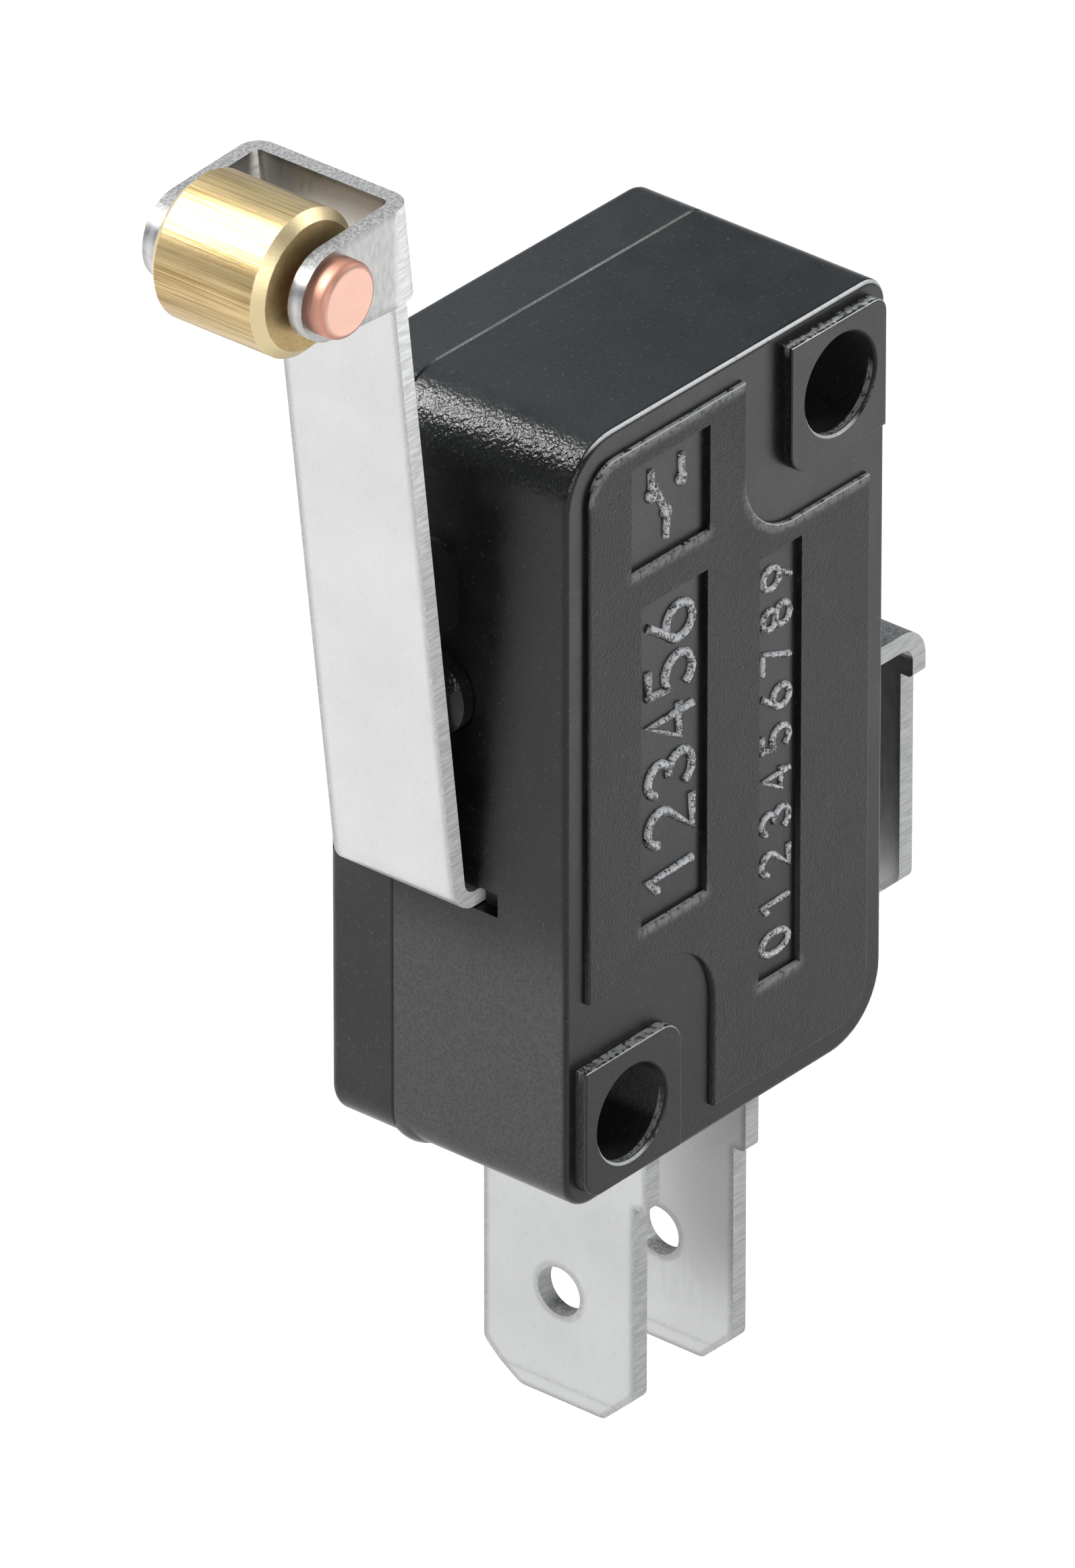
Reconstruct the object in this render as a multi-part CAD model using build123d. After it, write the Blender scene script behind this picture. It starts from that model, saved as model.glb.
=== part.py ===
from build123d import *
import math
import os

# Lever micro switch. The body stands on its short end: +Z runs along its long side with the
# push-on tabs down, -Y is the front with the raised panel, and the lever is on the -X side.
# The origin is halfway between the two mounting holes and halfway through the thickness.

# Body, in millimetres
body_width = 15.9
body_height = 27.8
body_thickness = 10.3
lever_top_radius = 2.3
lever_bottom_radius = 1.3
common_top_radius = 1.1
common_bottom_radius = 2.5
front_edge_round = 0.2
back_edge_round = 0.35

# Case and cover
cover_thickness = 2.65
front_wall = 1.3
lever_wall = 1.9
side_wall = 1.4
cover_wall = 1.4
cavity_corner_radius = 0.6
seam_chamfer = 0.06
ridge_height = 0.2
ridge_radius = 1.25
ridge_offset = 0.375

# Mounting holes, their bosses on the front and the pillars around them inside
hole_inset = 2.8
lower_hole_diameter = 3.4
upper_hole_diameter = 3.5
boss_size = 4.9
boss_height = 0.45
boss_corner_radius = 0.9
boss_inset = 0.5
boss_edge_round = 0.06
hole_rim_chamfer = 0.08
pillar_wall = 0.7

# Raised front panel with its sunk fields
panel_height = 0.2
panel_margin = 0.95
panel_edge_round = 0.08
panel_notch_width = 4.4
lower_notch_height = 4.7
upper_notch_height = 4.15
panel_notch_radius = 2.5
field_depth = 0.22
square_field_width = 3.9
square_field_height = 3.85
square_field_x = -3.0
square_field_z = 10.28
long_field_width = 3.3
long_field_height = 11.8
long_field_x = -2.8
long_field_z = 1.1
narrow_field_width = 2.1
narrow_field_height = 15.7
narrow_field_x = 2.5
narrow_field_z = -1.65

# Low pad on the lever side, above the plunger
pad_height = 0.2
pad_front_y = -0.3
pad_back_y = 2.0
pad_bottom_level = 19.6
pad_top_level = 23.0
pad_corner_radius = 0.9

# Push-on tabs
terminal_thickness = 0.65
tab_width = 6.3
tab_shoulder = 0.5
tab_tip_drop = 11.2
tab_shoulder_drop = 2.7
tab_chamfer_width = 1.4
tab_chamfer_height = 1.3
tab_corner_radius = 0.45
tab_shoulder_round = 0.2
tab_bevel_height = 0.7
tab_bevel_depth = 0.15
tab_hole_diameter = 1.75
tab_hole_from_tip = 4.2
terminal_clearance = 0.05
closed_terminal_inset = 5.65
terminal_pitch = 5.0
carrier_width = 5.0
carrier_level = 6.0

# Common terminal with its inner frame
common_level = 12.74
common_reach = 3.45
common_bend_radius = 0.55
common_shoulder_drop = 1.85
common_tip_drop = 10.85
frame_bend_radius = 0.4
frame_width = 4.6
frame_slot_width = 2.2
frame_slot_reach = 1.2
frame_top_above_leg = 9.3
frame_slot_end_margin = 1.8

# Contacts
contact_level = 4.0
contact_diameter = 3.0
contact_height = 0.9
contact_round = 0.3
contact_shank_diameter = 1.4
contact_shank_clearance = 0.02
moving_contact_diameter = 2.8
moving_contact_height = 0.75
closed_contact_gap = 0.03

# Contact arm and drive arm, each seated in a notch of the common frame
contact_arm_thickness = 0.4
contact_arm_width = 4.4
contact_arm_bend_radius = 0.25
contact_arm_tail = 1.9
contact_arm_gap_width = 2.0
arm_reach = 0.75
contact_pivot_above_leg = 1.46
drive_arm_thickness = 0.3
drive_arm_width = 3.8
drive_arm_bend_radius = 0.3
drive_pivot_above_leg = 8.46
drive_offset = 3.05
drive_tongue_above_leg = 3.2
drive_tongue_width = 1.5
notch_depth = 0.2
notch_clearance = 0.12
knife_gap = 0.05

# Snap spring
spring_radius = 0.6
spring_wire = 0.26
spring_turns = 14
spring_hole_level = 7.1
spring_hole_diameter = 0.6
spring_bar = 0.22
tongue_bar = 0.32
hook_below_tongue = 0.32

# Plunger
plunger_level = 17.6
plunger_y = 0.5
plunger_diameter = 2.9
plunger_clearance = 0.05
plunger_dome_radius = 2.0
plunger_flange_diameter = 4.0
plunger_flange_thickness = 0.8
plunger_nose_diameter = 1.8
plunger_gap = 0.1

# Roller lever
hinge_level = 10.37
hinge_depth = 0.95
lever_y = 1.6
lever_thickness = 0.55
lever_lean = 7.1
lever_bend_radius = 0.5
foot_length = 1.57
lug_overhang = 0.6
lug_clearance = 0.05
lug_side_clearance = 0.1
slot_swing_room = 0.25
slot_relief = 1.0
slot_lip = 0.12
pin_distance = 26.1
pin_offset = 3.82
ear_radius = 1.55
ear_top_drop = 0.3
ear_root_height = 3.4
ear_root_depth = 0.7
fork_bend_radius = 0.2

# Roller and its rivet
roller_diameter = 5.0
roller_length = 4.6
roller_chamfer = 0.33
roller_end_gap = 0.4
roller_bore_clearance = 0.05
pin_diameter = 1.9
pin_fit_clearance = 0.02
rivet_head_diameter = 2.6
rivet_head_height = 0.68
rivet_head_round = 0.24
rivet_tail_height = 0.25

# Planes and levels that follow from the sizes above
front_y = -body_thickness / 2
back_y = body_thickness / 2
frame_y = front_y + boss_height
panel_y = frame_y - panel_height
parting_y = back_y - cover_thickness
cavity_front_y = frame_y + front_wall
cavity_back_y = back_y - cover_wall
lever_face_x = -body_width / 2
common_face_x = body_width / 2
bottom_z = -body_height / 2
top_z = body_height / 2
hole_x = body_width / 2 - hole_inset
hole_z = body_height / 2 - hole_inset
holes = (
    (-hole_x, -hole_z, lower_hole_diameter),
    (hole_x, hole_z, upper_hole_diameter),
)
notch_heights = (lower_notch_height, upper_notch_height)

tab_front_y = -tab_width / 2
tab_back_y = tab_width / 2
shank_front_y = tab_front_y - tab_shoulder
closed_x = lever_face_x + closed_terminal_inset
open_x = closed_x + terminal_pitch
contact_z = bottom_z + contact_level

common_x = common_face_x + common_reach - terminal_thickness / 2
common_z = bottom_z + common_level
common_top_z = common_z + terminal_thickness / 2
contact_arm_x = (
    closed_x + terminal_thickness / 2 + contact_height + closed_contact_gap
    + moving_contact_height + contact_arm_thickness / 2
)
frame_face_x = contact_arm_x + contact_arm_thickness / 2 + arm_reach
frame_x = frame_face_x + terminal_thickness / 2
frame_top_z = common_z + frame_top_above_leg
contact_pivot_z = common_z + contact_pivot_above_leg
drive_pivot_z = common_z + drive_pivot_above_leg
drive_x = frame_face_x - drive_offset
drive_tongue_z = common_z + drive_tongue_above_leg
knife_x = frame_face_x + notch_depth - knife_gap
spring_hole_z = bottom_z + spring_hole_level
hook_x = frame_x - spring_wire / 2

plunger_z = bottom_z + plunger_level
hinge_x = lever_face_x + hinge_depth
hinge_z = bottom_z + hinge_level
lean = math.radians(lever_lean)
fork_width = roller_length + 2 * (roller_end_gap + lever_thickness)
lever_width = fork_width - 2 * (fork_bend_radius + lever_thickness)
lug_length = lever_width + 2 * lug_overhang
elbow_x = hinge_x - foot_length
lever_length = pin_distance + ear_radius - ear_top_drop
plate_direction = Vector(-math.sin(lean), 0, math.cos(lean))
plate_normal = Vector(-math.cos(lean), 0, -math.sin(lean))
elbow = Vector(elbow_x, lever_y, hinge_z)
pin_centre = elbow + plate_direction * pin_distance + plate_normal * pin_offset
plunger_rise = plunger_z - hinge_z
lever_inner_x = elbow_x - plunger_rise * math.tan(lean) + lever_thickness / (2 * math.cos(lean))


def along_x(sketch, x_start, x_end):
    """Extrude a sketch drawn in Y and Z from one X plane to another."""
    return extrude(Plane.YZ.offset(x_start) * sketch, x_end - x_start)


def along_y(sketch, y_start, y_end):
    """Extrude a sketch drawn in X and Z from one Y plane to another."""
    return extrude(Plane.XZ.offset(-y_end) * sketch, y_end - y_start)


def rectangle(low, high):
    """Rectangle between two opposite corners."""
    middle = ((low[0] + high[0]) / 2, (low[1] + high[1]) / 2)
    return Pos(*middle) * Rectangle(high[0] - low[0], high[1] - low[1])


def block(low, high):
    """Box between two opposite corners."""
    middle = [(a + b) / 2 for a, b in zip(low, high)]
    return Pos(*middle) * Box(*[b - a for a, b in zip(low, high)])


def rod_x(x_start, x_end, y, z, diameter):
    """Round rod along X."""
    return along_x(Pos(y, z) * Circle(diameter / 2), x_start, x_end)


def rod_y(y_start, y_end, x, z, diameter):
    """Round rod along Y."""
    return along_y(Pos(x, z) * Circle(diameter / 2), y_start, y_end)


def bent_strip(points, bend_radius, thickness, y_start, y_end):
    """Sheet metal strip whose middle line runs through points in X and Z, with equal inner bends."""
    corners = [(x, 0, z) for x, z in points]
    line = FilletPolyline(*corners, radius=bend_radius + thickness / 2)
    section_plane = Plane(origin=line @ 0, x_dir=(0, 1, 0), z_dir=line % 0)
    section = section_plane * Pos((y_start + y_end) / 2, 0) * Rectangle(y_end - y_start, thickness)
    return sweep(section, path=line)


def body_outline(inset=0.0):
    """Outline of the body in X and Z, with a different radius at each corner."""
    half_width = body_width / 2 - inset
    half_height = body_height / 2 - inset
    corner_radii = (
        (-half_width, half_height, lever_top_radius),
        (-half_width, -half_height, lever_bottom_radius),
        (half_width, half_height, common_top_radius),
        (half_width, -half_height, common_bottom_radius),
    )
    outline = Rectangle(2 * half_width, 2 * half_height)
    for x, z, radius in corner_radii:
        corner = outline.vertices().sort_by_distance((x, z, 0))[0]
        outline = fillet(corner, max(radius - inset, front_edge_round))
    return outline


def panel_outline():
    """Front panel: the body outline set in, with a rounded notch around each boss."""
    outline = body_outline(panel_margin)
    for (x, z, _), height in zip(holes, notch_heights):
        side = math.copysign(1, x)
        inner = (x - side * panel_notch_width, z - side * height)
        outer = (side * body_width, side * body_height)
        low = (min(inner[0], outer[0]), min(inner[1], outer[1]))
        high = (max(inner[0], outer[0]), max(inner[1], outer[1]))
        notch = rectangle(low, high)
        corner = notch.vertices().sort_by_distance((*inner, 0))[0]
        outline -= fillet(corner, panel_notch_radius)
    return outline


def boss_outline(x, z):
    """Square boss around a hole, with two opposite corners rounded, kept inside the front edge."""
    boss = Pos(x, z) * Rectangle(boss_size, boss_size)
    for side in (1, -1):
        corner = boss.vertices().sort_by_distance((x + side * boss_size, z + side * boss_size, 0))[0]
        boss = fillet(corner, boss_corner_radius)
    return boss & body_outline(boss_inset)


def cavity_outline():
    """Inside of the shell in X and Z, leaving a solid pillar around each mounting hole."""
    low = (lever_face_x + lever_wall, bottom_z + side_wall)
    high = (common_face_x - side_wall, top_z - side_wall)
    outline = rectangle(low, high)
    for x, z, diameter in holes:
        side = math.copysign(1, x)
        reach = diameter / 2 + pillar_wall
        inner = (x - side * reach, z - side * reach)
        outer = (side * body_width, side * body_height)
        low = (min(inner[0], outer[0]), min(inner[1], outer[1]))
        high = (max(inner[0], outer[0]), max(inner[1], outer[1]))
        outline -= rectangle(low, high)
    return fillet(outline.vertices(), cavity_corner_radius)


def screw_holes():
    """Both mounting holes, right through, with a small chamfer at the front rim."""
    cuts = []
    for x, z, diameter in holes:
        hole = rod_y(2 * front_y, 2 * back_y, x, z, diameter)
        radius = diameter / 2
        rim = Cone(radius, radius + 2 * hole_rim_chamfer, 2 * hole_rim_chamfer)
        cuts.append(hole + Pos(x, front_y, z) * Rot(90, 0, 0) * rim)
    return cuts[0] + cuts[1]


def terminal_slots():
    """Slots in the shell that the three terminals pass through."""
    half = terminal_thickness / 2 + terminal_clearance
    front = shank_front_y - terminal_clearance
    back = tab_back_y + terminal_clearance
    slots = block(
        (frame_x, front, common_z - half),
        (common_face_x + side_wall, back, common_z + half),
    )
    for x in (closed_x, open_x):
        slots += block((x - half, front, bottom_z - side_wall), (x + half, back, bottom_z + carrier_level))
    return slots


def lever_slot():
    """Round groove for the lever's lugs, the slot that its foot swings in and a relief at its mouth."""
    groove_diameter = lever_thickness + 2 * lug_clearance
    groove_half = lug_length / 2 + lug_side_clearance
    groove = rod_y(lever_y - groove_half, lever_y + groove_half, hinge_x, hinge_z, groove_diameter)
    mouth_half = lever_width / 2 + lug_side_clearance
    mouth = block(
        (lever_face_x - lever_wall, lever_y - mouth_half, hinge_z - lever_thickness / 2 - lug_clearance),
        (hinge_x, lever_y + mouth_half, hinge_z + lever_thickness / 2 + slot_swing_room),
    )
    relief_half = lever_width / 2 + slot_relief
    relief = block(
        (lever_face_x - lever_wall, lever_y - relief_half, hinge_z - lever_thickness / 2 - lug_clearance),
        (hinge_x - groove_diameter / 2 - slot_lip, lever_y + relief_half,
         hinge_z + lever_thickness / 2 + slot_swing_room),
    )
    return groove + mouth + relief


def front_fields():
    """Three sunk fields of the front panel."""
    sizes = (
        (square_field_x, square_field_z, square_field_width, square_field_height),
        (long_field_x, long_field_z, long_field_width, long_field_height),
        (narrow_field_x, narrow_field_z, narrow_field_width, narrow_field_height),
    )
    sketch = Sketch()
    for x, z, width, height in sizes:
        sketch += Pos(x, z) * Rectangle(width, height)
    return along_y(sketch, 2 * front_y, panel_y + field_depth)


def bottom_ridge(y_start, y_end):
    """Part between two Y planes of the low round-ended ridge under the body, along the parting line."""
    y = parting_y - ridge_offset
    z = bottom_z - ridge_height + ridge_radius
    start = lever_face_x + lever_bottom_radius
    end = common_face_x - common_bottom_radius
    ridge = rod_x(start, end, y, z, 2 * ridge_radius)
    for x in (start, end):
        ridge += Pos(x, y, z) * Sphere(ridge_radius)
    return ridge & block((-body_width, y_start, -body_height), (body_width, y_end, body_height))


def lever_pad():
    """Low round-cornered pad on the lever side."""
    low = (pad_front_y, bottom_z + pad_bottom_level)
    high = (pad_back_y, bottom_z + pad_top_level)
    outline = fillet(rectangle(low, high).vertices(), pad_corner_radius)
    return along_x(outline, lever_face_x - pad_height, lever_face_x + side_wall)


def make_case():
    """Front moulding with the panel, the bosses and the cavity."""
    shell = along_y(body_outline(), frame_y, parting_y)
    shell = fillet(shell.faces().sort_by(Axis.Y)[0].edges(), front_edge_round)
    shell = chamfer(shell.faces().sort_by(Axis.Y)[-1].edges(), seam_chamfer)
    panel = along_y(panel_outline(), panel_y, frame_y)
    panel = fillet(panel.faces().sort_by(Axis.Y)[0].edges(), panel_edge_round)
    case = shell + panel - front_fields()
    for x, z, _ in holes:
        boss = along_y(boss_outline(x, z), front_y, frame_y)
        case += fillet(boss.faces().sort_by(Axis.Y)[0].edges(), boss_edge_round)
    case += bottom_ridge(frame_y, parting_y) + lever_pad()
    case -= along_y(cavity_outline(), cavity_front_y, parting_y)
    case -= terminal_slots() + lever_slot() + screw_holes()
    plunger_hole = plunger_diameter + 2 * plunger_clearance
    case -= rod_x(2 * lever_face_x, lever_face_x + 2 * lever_wall, plunger_y, plunger_z, plunger_hole)
    return case


def make_cover():
    """Back moulding that closes the cavity at the parting line."""
    cover = along_y(body_outline(), parting_y, back_y)
    cover = fillet(cover.faces().sort_by(Axis.Y)[-1].edges(), back_edge_round)
    cover = chamfer(cover.faces().sort_by(Axis.Y)[0].edges(), seam_chamfer)
    cover += bottom_ridge(parting_y, cavity_back_y)
    cover -= along_y(cavity_outline(), parting_y, cavity_back_y)
    return cover - (terminal_slots() + lever_slot() + screw_holes())


def tab_outline(tip_z, shoulder_z, top_z):
    """Push-on tab in Y and Z: chamfered tip, hole, and a shank with a shoulder on the front side."""
    chamfer_z = tip_z + tab_chamfer_height
    points = (
        (tab_front_y + tab_chamfer_width, tip_z),
        (tab_back_y - tab_chamfer_width, tip_z),
        (tab_back_y, chamfer_z),
        (tab_back_y, top_z),
        (shank_front_y, top_z),
        (shank_front_y, shoulder_z),
        (tab_front_y, shoulder_z),
        (tab_front_y, chamfer_z),
    )
    outline = make_face(Polyline(*points, close=True))
    outline = fillet(outline.vertices().sort_by(Axis.Y)[:4], tab_corner_radius)
    shoulder = outline.vertices().sort_by_distance((shank_front_y, shoulder_z, 0))[0]
    outline = fillet(shoulder, tab_shoulder_round)
    return outline - Pos(0, tip_z + tab_hole_from_tip) * Circle(tab_hole_diameter / 2)


def tip_bevels(x, tip_z):
    """Material removed from both faces of a tab so that its tip is thinner."""
    wedges = Sketch()
    for side in (-1, 1):
        face_x = x + side * terminal_thickness / 2
        points = (
            (face_x, tip_z + tab_bevel_height),
            (face_x, tip_z),
            (face_x - side * tab_bevel_depth, tip_z),
        )
        wedges += make_face(Polyline(*points, close=True))
    return along_y(wedges, tab_front_y, tab_back_y)


def contact_bore(x):
    """Hole for a contact's shank across a plate at x."""
    diameter = contact_shank_diameter + 2 * contact_shank_clearance
    return rod_x(x - contact_height, x + contact_height, 0, contact_z, diameter)


def make_lower_terminal(x):
    """Straight terminal at the lower end: tab outside, contact carrier inside."""
    tip_z = bottom_z - tab_tip_drop
    outline = tab_outline(tip_z, bottom_z - tab_shoulder_drop, bottom_z + side_wall)
    outline += rectangle(
        (-carrier_width / 2, bottom_z + side_wall),
        (carrier_width / 2, bottom_z + carrier_level - terminal_clearance),
    )
    terminal = along_x(outline, x - terminal_thickness / 2, x + terminal_thickness / 2)
    return terminal - tip_bevels(x, tip_z) - contact_bore(x)


def make_common_terminal():
    """Bent terminal: tab outside, leg through the wall, upright frame with two notches inside."""
    tip_z = common_top_z - common_tip_drop
    outside = bent_strip(
        ((common_x, tip_z), (common_x, common_z), (frame_x, common_z)),
        common_bend_radius, terminal_thickness, shank_front_y, tab_back_y,
    )
    outside &= block((common_face_x - side_wall, shank_front_y, tip_z), (2 * common_x, tab_back_y, top_z))
    outline = tab_outline(tip_z, common_top_z - common_shoulder_drop, common_top_z)
    outside &= along_x(outline, common_face_x - side_wall, 2 * common_x)
    outside -= tip_bevels(common_x, tip_z)
    inside = bent_strip(
        ((common_face_x - side_wall, common_z), (frame_x, common_z), (frame_x, frame_top_z)),
        frame_bend_radius, terminal_thickness, -frame_width / 2, frame_width / 2,
    )
    inside -= block(
        (frame_face_x - terminal_thickness, -frame_slot_width / 2, common_z - terminal_thickness),
        (frame_x + frame_slot_reach, frame_slot_width / 2, frame_top_z - frame_slot_end_margin),
    )
    for z, thickness in ((contact_pivot_z, contact_arm_thickness), (drive_pivot_z, drive_arm_thickness)):
        half = thickness / 2 + notch_clearance
        inside -= block(
            (frame_face_x - notch_depth, -frame_width, z - half),
            (frame_face_x + notch_depth, frame_width, z + half),
        )
    return outside + inside


def make_fixed_contact(x, side):
    """Contact rivet on a lower terminal, its head on the given side."""
    face_x = x + side * terminal_thickness / 2
    head_end = face_x + side * contact_height
    head = rod_x(min(face_x, head_end), max(face_x, head_end), 0, contact_z, contact_diameter)
    rim = head.edges().filter_by(GeomType.CIRCLE).sort_by(Axis.X)[-1 if side > 0 else 0]
    head = fillet(rim, contact_round)
    back_x = x - side * terminal_thickness / 2
    return head + rod_x(min(back_x, face_x), max(back_x, face_x), 0, contact_z, contact_shank_diameter)


def make_contact_arm():
    """Forked plate that hangs from the frame's lower notch by two prongs, one each side of the spring."""
    arm = bent_strip(
        (
            (knife_x, contact_pivot_z),
            (contact_arm_x, contact_pivot_z),
            (contact_arm_x, contact_z - contact_arm_tail),
        ),
        contact_arm_bend_radius, contact_arm_thickness, -contact_arm_width / 2, contact_arm_width / 2,
    )
    gap_low_z = spring_hole_z + spring_hole_diameter / 2 + spring_bar
    arm -= block(
        (contact_arm_x - arm_reach, -contact_arm_gap_width / 2, gap_low_z),
        (knife_x + notch_depth, contact_arm_gap_width / 2, contact_pivot_z + contact_arm_thickness),
    )
    arm -= rod_x(contact_arm_x - arm_reach, contact_arm_x + arm_reach, 0, spring_hole_z, spring_hole_diameter)
    return arm - contact_bore(contact_arm_x)


def make_moving_contact():
    """Double-headed contact rivet through the contact arm."""
    half = contact_arm_thickness / 2
    end = half + moving_contact_height
    rivet = rod_x(contact_arm_x - half, contact_arm_x + half, 0, contact_z, contact_shank_diameter)
    for side in (-1, 1):
        low = contact_arm_x + min(side * half, side * end)
        high = contact_arm_x + max(side * half, side * end)
        head = rod_x(low, high, 0, contact_z, moving_contact_diameter)
        rim = head.edges().filter_by(GeomType.CIRCLE).sort_by(Axis.X)[-1 if side > 0 else 0]
        rivet += fillet(rim, contact_round)
    return rivet


def make_drive_arm():
    """Thin plate from the frame's upper notch down to a tongue that pulls the spring across."""
    tip_x = hook_x + tongue_bar / 2
    arm = bent_strip(
        (
            (knife_x, drive_pivot_z),
            (drive_x, drive_pivot_z),
            (drive_x, drive_tongue_z),
            (tip_x, drive_tongue_z),
        ),
        drive_arm_bend_radius, drive_arm_thickness, -drive_arm_width / 2, drive_arm_width / 2,
    )
    shoulder_x = drive_x + drive_arm_bend_radius + drive_arm_thickness
    for side in (-1, 1):
        inner_y = side * drive_tongue_width / 2
        outer_y = side * drive_arm_width
        arm -= block(
            (shoulder_x, min(inner_y, outer_y), drive_tongue_z - drive_arm_thickness),
            (tip_x + tongue_bar, max(inner_y, outer_y), drive_tongue_z + drive_arm_thickness),
        )
    hole_x = hook_x - tongue_bar / 2 - spring_hole_diameter / 2
    hole = Pos(hole_x, 0, drive_tongue_z) * Cylinder(spring_hole_diameter / 2, 2 * drive_arm_thickness)
    return arm - hole


def make_snap_spring():
    """Close coil with a half-round hook at each end, from the contact arm to the drive tongue."""
    low = Vector(contact_arm_x, 0, spring_hole_z)
    high = Vector(hook_x, 0, drive_tongue_z - hook_below_tongue)
    axis = (high - low).normalized()
    start = low + axis * spring_radius
    coil_length = (high - start).length
    coil_line = Helix(coil_length / spring_turns, coil_length, spring_radius)
    wire_plane = Plane(coil_line @ 0, z_dir=coil_line % 0)
    coil = sweep(wire_plane * Circle(spring_wire / 2), coil_line, is_frenet=True)
    wire_section = Pos(spring_radius, 0) * Circle(spring_wire / 2)
    hook = Rot(90, 0, 0) * revolve(Plane.XZ * wire_section, Axis.Z, 180)
    spring = coil + Rot(180, 0, 0) * hook + Pos(0, 0, coil_length) * hook
    return Plane(origin=start, x_dir=Vector(0, 1, 0).cross(axis), z_dir=axis) * spring


def make_plunger():
    """Moulded pin with a domed outer end, a flange inside the wall and a round nose for the drive arm."""
    stem = plunger_diameter / 2
    flange = plunger_flange_diameter / 2
    nose = plunger_nose_diameter / 2
    tip_x = lever_inner_x + plunger_gap
    dome_angle = math.asin(stem / plunger_dome_radius)
    dome = [
        (tip_x + plunger_dome_radius * (1 - math.cos(angle)), plunger_dome_radius * math.sin(angle))
        for angle in (0, dome_angle / 2, dome_angle)
    ]
    flange_x = lever_face_x + lever_wall + plunger_gap
    flange_end_x = flange_x + plunger_flange_thickness
    nose_end_x = drive_x - drive_arm_thickness / 2 - plunger_gap
    nose_x = nose_end_x - nose
    nose_dome = [
        (nose_x + nose * math.sin(angle), nose * math.cos(angle))
        for angle in (0, math.pi / 4, math.pi / 2)
    ]
    steps = Polyline(
        dome[-1],
        (flange_x, stem),
        (flange_x, flange),
        (flange_end_x, flange),
        (flange_end_x, nose),
        nose_dome[0],
    )
    ends = ThreePointArc(*dome).edges() + ThreePointArc(*nose_dome).edges()
    profile = make_face(ends + steps.edges() + Line(nose_dome[-1], dome[0]).edges())
    return Pos(0, plunger_y, plunger_z) * revolve(profile, Axis.X)


def fork_section():
    """Section of the fork across the plate: a U with its open side towards the roller."""
    half = lever_thickness / 2
    reach = pin_offset + ear_radius
    outer = rectangle((-half, -fork_width / 2), (reach, fork_width / 2))
    outer = fillet(outer.vertices().sort_by(Axis.X)[:2], fork_bend_radius + lever_thickness)
    inner_half = fork_width / 2 - lever_thickness
    inner = rectangle((half, -inner_half), (2 * reach, inner_half))
    return outer - fillet(inner.vertices().sort_by(Axis.X)[:2], fork_bend_radius)


def ear_outline():
    """Side view of the fork: a broad root on the plate that narrows to a round end at the pin."""
    half = lever_thickness / 2
    root = rectangle((-half, lever_length - ear_root_height), (half + ear_root_depth, lever_length))
    end = Pos(pin_offset, pin_distance) * Circle(ear_radius)
    return make_hull(root.edges() + end.edges())


def make_roller_lever():
    """Stamped lever: round lugs in the case groove, bent foot, straight plate and fork."""
    fork_start = lever_length - ear_root_height
    plate_end = elbow + plate_direction * fork_start
    plate = bent_strip(
        ((hinge_x, hinge_z), (elbow.X, elbow.Z), (plate_end.X, plate_end.Z)),
        lever_bend_radius, lever_thickness, lever_y - lever_width / 2, lever_y + lever_width / 2,
    )
    lugs = rod_y(lever_y - lug_length / 2, lever_y + lug_length / 2, hinge_x, hinge_z, lever_thickness)
    across = Plane(origin=elbow, x_dir=plate_normal, z_dir=plate_direction)
    fork = extrude(across.offset(fork_start) * fork_section(), ear_root_height + ear_top_drop)
    side = Plane(origin=elbow, x_dir=plate_normal, z_dir=(0, 1, 0))
    fork &= extrude(side * ear_outline(), fork_width, both=True)
    lever = plate + lugs + fork
    bore = pin_diameter + 2 * pin_fit_clearance
    return lever - rod_y(lever_y - fork_width, lever_y + fork_width, pin_centre.X, pin_centre.Z, bore)


def make_roller():
    """Turned roller with chamfered ends."""
    half = roller_length / 2
    roller = rod_y(lever_y - half, lever_y + half, pin_centre.X, pin_centre.Z, roller_diameter)
    roller = chamfer(roller.edges().filter_by(GeomType.CIRCLE), roller_chamfer)
    bore = pin_diameter + 2 * roller_bore_clearance
    return roller - rod_y(lever_y - half, lever_y + half, pin_centre.X, pin_centre.Z, bore)


def make_roller_pin():
    """Rivet through the fork: full head at the front, low clinched tail at the back."""
    front = lever_y - fork_width / 2
    back = lever_y + fork_width / 2
    pin = rod_y(front, back, pin_centre.X, pin_centre.Z, pin_diameter)
    head = rod_y(front - rivet_head_height, front, pin_centre.X, pin_centre.Z, rivet_head_diameter)
    head_rim = head.edges().filter_by(GeomType.CIRCLE).sort_by(Axis.Y)[0]
    tail = rod_y(back, back + rivet_tail_height, pin_centre.X, pin_centre.Z, rivet_head_diameter)
    tail_rim = tail.edges().filter_by(GeomType.CIRCLE).sort_by(Axis.Y)[-1]
    return pin + fillet(head_rim, rivet_head_round) + fillet(tail_rim, min(rivet_head_round, rivet_tail_height / 2))


nodes = {
    "case": make_case(),
    "cover": make_cover(),
    "normally_closed_terminal": make_lower_terminal(closed_x),
    "normally_open_terminal": make_lower_terminal(open_x),
    "common_terminal": make_common_terminal(),
    "normally_closed_contact": make_fixed_contact(closed_x, 1),
    "normally_open_contact": make_fixed_contact(open_x, -1),
    "contact_arm": make_contact_arm(),
    "moving_contact": make_moving_contact(),
    "drive_arm": make_drive_arm(),
    "snap_spring": make_snap_spring(),
    "plunger": make_plunger(),
    "roller_lever": make_roller_lever(),
    "roller": make_roller(),
    "roller_pin": make_roller_pin(),
}

os.makedirs("parts", exist_ok=True)
for name, solid in nodes.items():
    export_step(solid, f"parts/{name}.step")
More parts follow.
